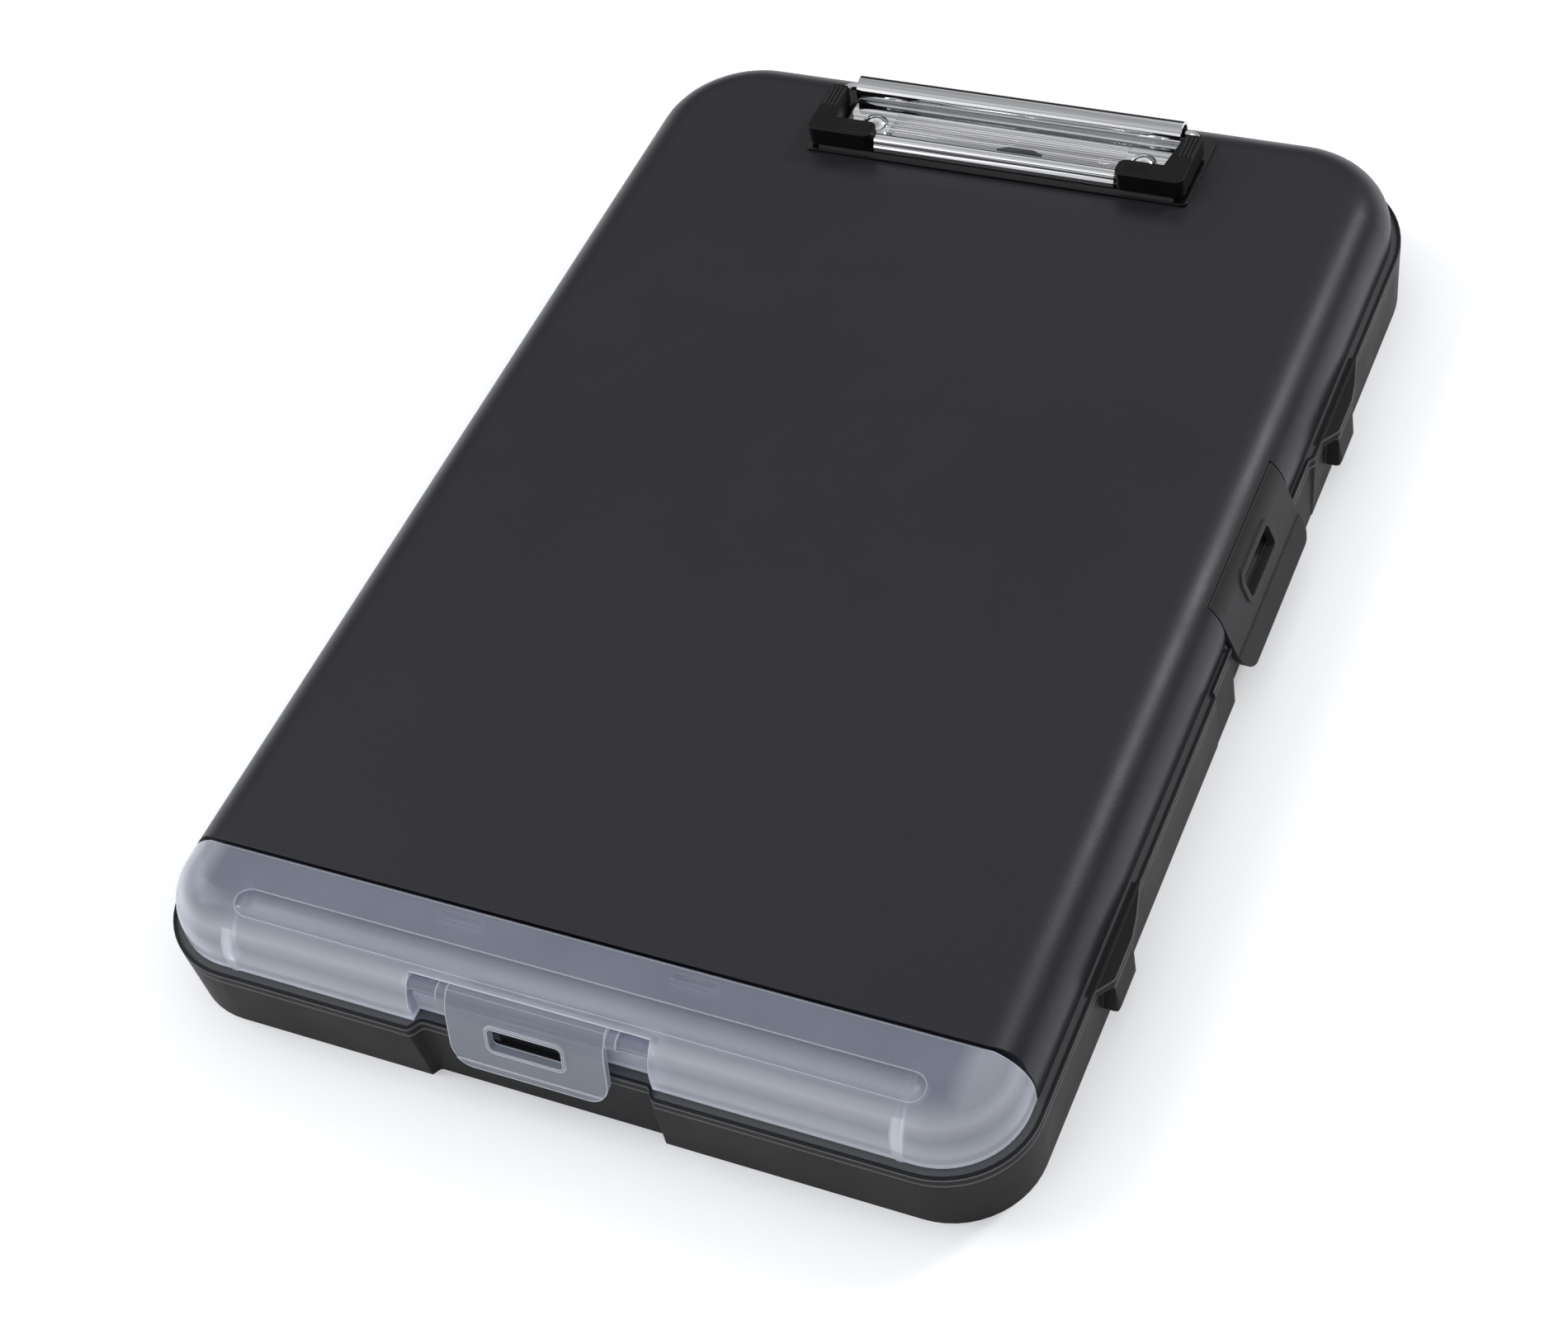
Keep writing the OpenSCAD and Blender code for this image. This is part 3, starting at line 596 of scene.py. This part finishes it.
@dataclass(frozen=True)
class Studio:
    """Floor, world and lamps.

    The room is a row of heights, from the horizon at 0 to overhead at 1, with the grey that
    gloss sees there.
    """

    floor_half: float = 3.0
    floor_cells: int = 4
    floor_colour: Colour = (0.92, 0.92, 0.93)
    floor_lift: float = 0.19
    sky: Colour = (0.95, 0.97, 1.0)
    sky_strength: float = 0.75
    room: Stops = (
        (0.0, 0.90),
        (0.05, 0.90),
        (0.09, 0.02),
        (0.53, 0.02),
        (0.60, 0.66),
        (0.80, 0.70),
        (1.0, 0.30),
    )
    lamps: tuple[Lamp, ...] = (
        Lamp("key", (-1.7, -0.3, 1.6), (0.0, 0.0, 0.0), 1.2, 17.0),
        Lamp("shoulder_strip", (0.82, 1.0, 1.08), (0.1, 0.0, 0.03), 0.3, 8.0),
        Lamp("front_fill", (-0.7, -1.7, 0.9), (0.0, -0.1, 0.02), 0.9, 3.0),
    )

    def build(self) -> None:
        """Make the floor, the white surround and the lamps."""
        bpy.ops.mesh.primitive_grid_add(
            x_subdivisions=self.floor_cells,
            y_subdivisions=self.floor_cells,
            size=2 * self.floor_half,
        )
        floor = bpy.context.object
        floor.name = "studio_floor"
        floor.data.materials.clear()
        floor.data.materials.append(self.floor_material())
        self.surround()
        for lamp in self.lamps:
            lamp.build()

    def floor_material(self) -> bpy.types.Material:
        """Build a pale floor that shows white to the eye and keeps soft shadows.

        Returns:
            The material.
        """
        graph = Graph("studio_white")
        diffuse = graph.add("ShaderNodeBsdfDiffuse", Color=(*self.floor_colour, 1.0))
        glow = graph.add("ShaderNodeEmission", Color=(1.0, 1.0, 1.0, 1.0))
        both = graph.add("ShaderNodeAddShader")
        path = graph.add("ShaderNodeLightPath").outputs
        seen = graph.largest(
            path["Is Camera Ray"], path["Is Glossy Ray"], path["Is Transmission Ray"]
        )
        graph.join(graph.math("MULTIPLY", seen, self.floor_lift), glow.inputs["Strength"])
        graph.join(diffuse.outputs["BSDF"], both.inputs[0])
        graph.join(glow.outputs["Emission"], both.inputs[1])
        graph.join(both.outputs["Shader"], graph.output.inputs["Surface"])
        return graph.material

    def surround(self) -> None:
        """White world to the eye, soft light on the object, a banded room in its gloss."""
        world = bpy.data.worlds.new("studio_world")
        bpy.context.scene.world = world
        world.use_nodes = True
        tree = world.node_tree
        tree.nodes.clear()
        path = tree.nodes.new("ShaderNodeLightPath")
        gloss = tree.nodes.new("ShaderNodeMixShader")
        sight = tree.nodes.new("ShaderNodeMixShader")
        soft = tree.nodes.new("ShaderNodeBackground")
        room = tree.nodes.new("ShaderNodeBackground")
        white = tree.nodes.new("ShaderNodeBackground")
        output = tree.nodes.new("ShaderNodeOutputWorld")
        soft.inputs["Color"].default_value = (*self.sky, 1.0)
        soft.inputs["Strength"].default_value = self.sky_strength
        white.inputs["Color"].default_value = (1.0, 1.0, 1.0, 1.0)
        tree.links.new(self.room_bands(tree), room.inputs["Color"])
        tree.links.new(path.outputs["Is Glossy Ray"], gloss.inputs["Fac"])
        tree.links.new(soft.outputs["Background"], gloss.inputs[1])
        tree.links.new(room.outputs["Background"], gloss.inputs[2])
        tree.links.new(path.outputs["Is Camera Ray"], sight.inputs["Fac"])
        tree.links.new(gloss.outputs["Shader"], sight.inputs[1])
        tree.links.new(white.outputs["Background"], sight.inputs[2])
        tree.links.new(sight.outputs["Shader"], output.inputs["Surface"])

    def room_bands(self, tree: bpy.types.NodeTree) -> Socket:
        """Grey levels of the studio room from its horizon up to its ceiling.

        Args:
            tree: the world's node tree.

        Returns:
            The colour socket.
        """
        place = tree.nodes.new("ShaderNodeTexCoord")
        parts = tree.nodes.new("ShaderNodeSeparateXYZ")
        ramp = tree.nodes.new("ShaderNodeValToRGB")
        tree.links.new(place.outputs["Generated"], parts.inputs["Vector"])
        tree.links.new(parts.outputs["Z"], ramp.inputs["Fac"])
        set_levels(ramp, self.room)
        return ramp.outputs["Color"]


@dataclass(frozen=True)
class Viewpoint:
    """Camera, as an azimuth and an elevation about a target, in degrees and metres."""

    azimuth: float = 33.614
    elevation: float = 48.484
    roll: float = -13.835
    distance: float = 0.79714
    target: Colour = (0.0017866, -0.0379798, 0.015)
    focal_px: float = 3552.288
    image_px: float = 1900.0
    sensor_mm: float = 36.0
    clip_start: float = 0.01

    def build(self) -> None:
        """Create the camera and make it the scene's own."""
        turn, rise, roll = (math.radians(v) for v in (self.azimuth, self.elevation, self.roll))
        flat = math.cos(rise)
        back = Vector((math.sin(turn) * flat, -math.cos(turn) * flat, math.sin(rise)))
        right = (-back).cross(Vector((0, 0, 1))).normalized()
        up = right.cross(-back)
        side = right * math.cos(roll) + up * math.sin(roll)
        top = -right * math.sin(roll) + up * math.cos(roll)
        place = Vector(self.target) + back * self.distance
        data = bpy.data.cameras.new("camera")
        data.sensor_fit = "HORIZONTAL"
        data.sensor_width = self.sensor_mm
        data.lens = self.focal_px * self.sensor_mm / self.image_px
        data.clip_start = self.clip_start
        camera = bpy.data.objects.new("camera", data)
        bpy.context.collection.objects.link(camera)
        matrix = Matrix((side, top, back)).transposed().to_4x4()
        matrix.translation = place
        camera.matrix_world = matrix
        bpy.context.scene.camera = camera


# -------------------------------------------------------------- sub-assemblies


# Each plastic's last number lifts its colour along its edges: a painted highlight.
TRAY_BLACK = MouldedPlastic(
    "tray_satin_black", (0.0105, 0.0107, 0.0110), 0.50, Grain.SATIN, specular=0.12, painted_edge_lift=9.0
)
LID_SLATE = MouldedPlastic(
    "lid_slate", (0.0170, 0.0172, 0.0215), 0.39, Grain.LEATHERY, specular=0.32, painted_edge_lift=1.5
)
LATCH_BLACK = MouldedPlastic(
    "latch_black", (0.0185, 0.0187, 0.0195), 0.46, Grain.SATIN, specular=0.20, painted_edge_lift=2.4
)
PAD_BLACK = MouldedPlastic(
    "pad_black", (0.0040, 0.0040, 0.0045), 0.22, Grain.SMOOTH, specular=0.45, painted_edge_lift=1.5
)
GRIP_RUBBER = MouldedPlastic(
    "grip_rubber", (0.0028, 0.0028, 0.0032), 0.36, Grain.SMOOTH, specular=0.25, painted_edge_lift=4.0
)
# The second colour of each frosted plastic is its painted highlight.
COVER_FROST = FrostedPlastic(
    "frosted_cover",
    (0.300, 0.318, 0.392),
    (0.94, 0.96, 1.0),
    clear=0.60,
    roughness=0.20,
    end_share=0.36,
    rib_share=1.0,
)
LATCH_FROST = FrostedPlastic(
    "frosted_latch", (0.31, 0.33, 0.385), (0.96, 0.98, 1.0), clear=0.52, roughness=0.22
)
CLIP_CHROME = Steel("clip_chrome", (0.86, 0.87, 0.89), 0.05)
# The plate's darker streaks are a painted reflection.
PLATE_CHROME = Steel("plate_chrome", (0.86, 0.87, 0.89), 0.08, painted_streak_dark=0.42)
PIN_STEEL = Steel("pin_steel", (0.55, 0.56, 0.58), 0.28, streak=0.1)
SPRING_STEEL = Steel("spring_steel", (0.42, 0.43, 0.45), 0.35, streak=0.1)


@dataclass
class SubAssembly:
    """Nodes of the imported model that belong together."""

    nodes: dict[str, bpy.types.Object]

    def dress(self, finish: Finish, *names: str) -> None:
        """Give nodes one finish.

        Args:
            finish: the finish.
            names: the nodes that take it.
        """
        for name in names:
            for slot in self.nodes[name].material_slots:
                slot.material = finish.material()
            LOG.info("dressed %s in %s", name, finish.material().name)


@dataclass
class Tray(SubAssembly):
    """The base with its compartments, the lid's hinge pins and the cover's pin."""

    # Heights of the painted highlight lines on the base.
    wall_top: float = 0.0187
    ledge_top: float = 0.0212

    def build(self) -> None:
        """Dress the base, with painted highlight lines at its outer wall's top and its ledge, and
        the pins.
        """
        self.dress(replace(TRAY_BLACK, painted_highlight_heights=(self.wall_top, self.ledge_top)), "base_tray")
        self.dress(PIN_STEEL, "lid_hinge_pins", "pen_cover_pin")


@dataclass
class Lid(SubAssembly):
    """The writing lid with the latch on its side."""

    edge_radius: float = 0.0004

    def build(self) -> None:
        """Dress the lid, its latch and the latch's pin."""
        self.dress(replace(LID_SLATE, edge_radius=self.edge_radius), "main_lid")
        self.dress(LATCH_BLACK, "side_latch")
        self.dress(PIN_STEEL, "side_latch_pin")


@dataclass
class PenCover(SubAssembly):
    """The frosted cover of the pen compartment with its own latch."""

    foot: float = 0.0229
    shoulder: float = 0.0350
    top: float = 0.0391
    inner_end: float = 0.1010
    outer_end: float = 0.1060
    rib_at: float = 0.0920

    def build(self) -> None:
        """Dress the cover, its latch and the rod between them."""
        frost = replace(
            COVER_FROST,
            wall=self.wall(),
            shoulder=self.shoulder,
            inner_end=self.inner_end,
            outer_end=self.outer_end,
            rib_at=self.rib_at,
        )
        self.dress(frost, "pen_cover")
        self.dress(LATCH_FROST, "pen_latch", "pen_latch_rod")

    def wall(self) -> Stops:
        """Describe the cover's wall.

        Returns:
            Heights from its foot up, with the share of painted highlight there.
        """
        # Painted highlight: a pale line at the foot, a lighter lower wall and a lighter band
        # below the shoulder.
        return (
            (self.foot, 1.0),
            (self.foot + 0.0008, 1.0),
            (self.foot + 0.0011, 0.62),
            (self.foot + 0.0046, 0.62),
            (self.foot + 0.0086, 0.34),
            (self.shoulder - 0.0005, 0.72),
            (self.shoulder + 0.0016, 0.36),
            (self.top, 0.0),
        )


@dataclass
class Clip(SubAssembly):
    """The paper clip: pad, plate, rivets, springs, wire, jaw and grips."""

    merge: float = 0.000002
    smooth_to: float = 34.0

    def build(self) -> None:
        """Dress the clip and polish its round metal."""
        self.dress(PAD_BLACK, "clip_pad")
        self.dress(GRIP_RUBBER, "clip_grip_left", "clip_grip_right")
        self.dress(PIN_STEEL, "rivet_washers")
        self.dress(SPRING_STEEL, "clip_springs")
        self.dress(PLATE_CHROME, "clip_plate")
        self.polish("clip_rivets", "lid")
        self.polish("clip_wire", "clip_bail")
        self.polish("clip_jaw", "clip_bail")

    def polish(self, name: str, body: str) -> None:
        """Stand a welded, smooth shaded copy in for a faceted node.

        Args:
            name: the node.
            body: the body that it rides on.
        """
        copy = bpy.data.objects.new(f"{name}_polished", self.nodes[name].data.copy())
        bpy.context.collection.objects.link(copy)
        bpy.ops.object.select_all(action="DESELECT")
        copy.select_set(True)
        bpy.context.view_layer.objects.active = copy
        bpy.ops.object.mode_set(mode="EDIT")
        bpy.ops.mesh.select_all(action="SELECT")
        bpy.ops.mesh.remove_doubles(threshold=self.merge)
        bpy.ops.object.mode_set(mode="OBJECT")
        bpy.ops.object.shade_smooth_by_angle(angle=math.radians(self.smooth_to))
        copy.data.materials.clear()
        copy.data.materials.append(CLIP_CHROME.material())
        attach(copy, body)
        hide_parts(name)
        LOG.info("polished %s", name)


def main() -> None:
    """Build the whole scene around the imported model."""
    logging.basicConfig(level=logging.INFO, format="%(name)s: %(message)s")
    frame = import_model()
    bpy.ops.object.select_all(action="DESELECT")
    bpy.context.scene.view_settings.view_transform = "Standard"
    Viewpoint().build()
    Studio().build()
    for assembly in (Tray, Lid, PenCover, Clip):
        LOG.info("building %s", assembly.__name__)
        assembly(frame["nodes"]).build()


if __name__ == "__main__":
    main()
